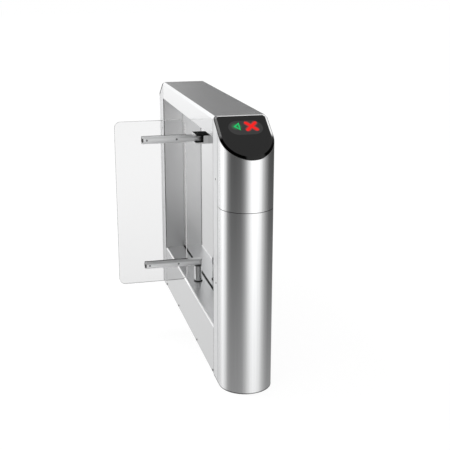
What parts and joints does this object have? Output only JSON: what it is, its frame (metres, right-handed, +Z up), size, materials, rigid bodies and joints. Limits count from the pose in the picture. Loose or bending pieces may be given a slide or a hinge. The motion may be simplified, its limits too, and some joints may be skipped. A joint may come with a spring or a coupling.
{
  "type": "swing turnstile",
  "caption": "Slim steel swing turnstile: a cabinet with half-round ends, sloped display panels, an open recess and a clear glass wing that swings both ways on two round arms.",
  "frame": {"origin": "on the floor, at the centre of the cabinet's footprint and of its four anchor holes", "axes": "+X across the cabinet away from the passage, +Y along the cabinet, +Z up; the recess and the wing are on the -X side"},
  "size_m": [0.4886, 1.4, 1],
  "materials": {
    "cabinet_skin": "satin brushed",
    "bright_wall": "bright polished",
    "arm_steel": "polished",
    "frame_metal": "zinc grey",
    "machined_steel": "machined",
    "fastener": "dark bright",
    "cast_housing": "cast",
    "motor_paint": "satin black",
    "black_panel": "gloss black",
    "black_plastic": "matt black",
    "rubber": "matt black",
    "board": "board green",
    "green_light": "lit green",
    "red_light": "lit red",
    "wing_glass": "clear"
  },
  "bodies": {
    "cabinet": {"base_plate": "frame_metal", "front_column": "cabinet_skin", "rear_column": "cabinet_skin", "front_nose_lower": "cabinet_skin", "front_nose_upper": "cabinet_skin", "rear_nose_lower": "cabinet_skin", "rear_nose_upper": "cabinet_skin", "seam_bands": "frame_metal", "top_cover": "cabinet_skin", "recess_ceiling": "cabinet_skin", "back_wall": "bright_wall", "lower_cover": "cabinet_skin", "floor_strip": "rubber", "top_rails": "frame_metal", "sill_rails": "frame_metal", "panel_screws": "fastener", "front_display_cover": "black_panel", "rear_display_cover": "black_panel", "display_frames": "black_plastic", "led_boards": "board", "arrow_lights": "green_light", "cross_lights": "red_light", "card_readers": "black_plastic", "sensor_lenses": "black_panel", "sensor_bodies": "black_plastic", "upper_bracket": "arm_steel", "bracket_screws": "fastener", "upper_pivot_pin": "machined_steel", "post_collar": "black_plastic", "drive_bridge": "frame_metal", "bridge_posts": "frame_metal", "bearing_cartridge": "machined_steel", "shaft_bearings": "machined_steel", "gearbox": "cast_housing", "drive_motor": "motor_paint", "stop_blocks": "frame_metal", "stop_bumpers": "rubber", "sensor_bracket": "frame_metal", "position_sensor": "black_plastic", "electronics_plate": "frame_metal", "control_board": "board", "power_supply": "cast_housing", "door_pivot_brackets": "frame_metal", "door_pivot_pins": "machined_steel"},
    "wing": {"wing_glass": "wing_glass", "upper_arm": "arm_steel", "lower_arm": "arm_steel", "glass_gaskets": "rubber", "arm_bolts": "fastener", "upper_arm_bush": "black_plastic", "drive_post": "arm_steel", "drive_shaft": "machined_steel", "wing_gear": "machined_steel", "stop_arm": "machined_steel", "position_disc": "machined_steel"},
    "pinion": {"drive_pinion": "machined_steel"},
    "door": {"service_door": "cabinet_skin", "lock_barrels": "fastener"},
    "upper_lock": {"upper_lock_cam": "machined_steel"},
    "lower_lock": {"lower_lock_cam": "machined_steel"}
  },
  "joints": [
    {"name": "wing_swing", "type": "hinge", "parent": "cabinet", "child": "wing", "pos_m": [-0.048, 0, 0.56], "axis": [0, 0, 1], "range_deg": [-90, 90]},
    {"name": "pinion_spin", "type": "hinge", "parent": "cabinet", "child": "pinion", "pos_m": [0.008, 0, 0.13], "axis": [0, 0, 1], "range_deg": [-270, 270]},
    {"name": "door_swing", "type": "hinge", "parent": "cabinet", "child": "door", "pos_m": [0.092, 0.5036, 0.46], "axis": [0, 0, 1], "range_deg": [0, 90]},
    {"name": "upper_lock_turn", "type": "hinge", "parent": "door", "child": "upper_lock", "pos_m": [0.077, -0.48, 0.76], "axis": [-1, 0, 0], "range_deg": [0, 90]},
    {"name": "lower_lock_turn", "type": "hinge", "parent": "door", "child": "lower_lock", "pos_m": [0.077, -0.48, 0.3], "axis": [-1, 0, 0], "range_deg": [0, 90]}
  ],
  "couplings": [
    {"joint": "pinion_spin", "follows": "wing_swing", "ratio": -3}
  ]
}
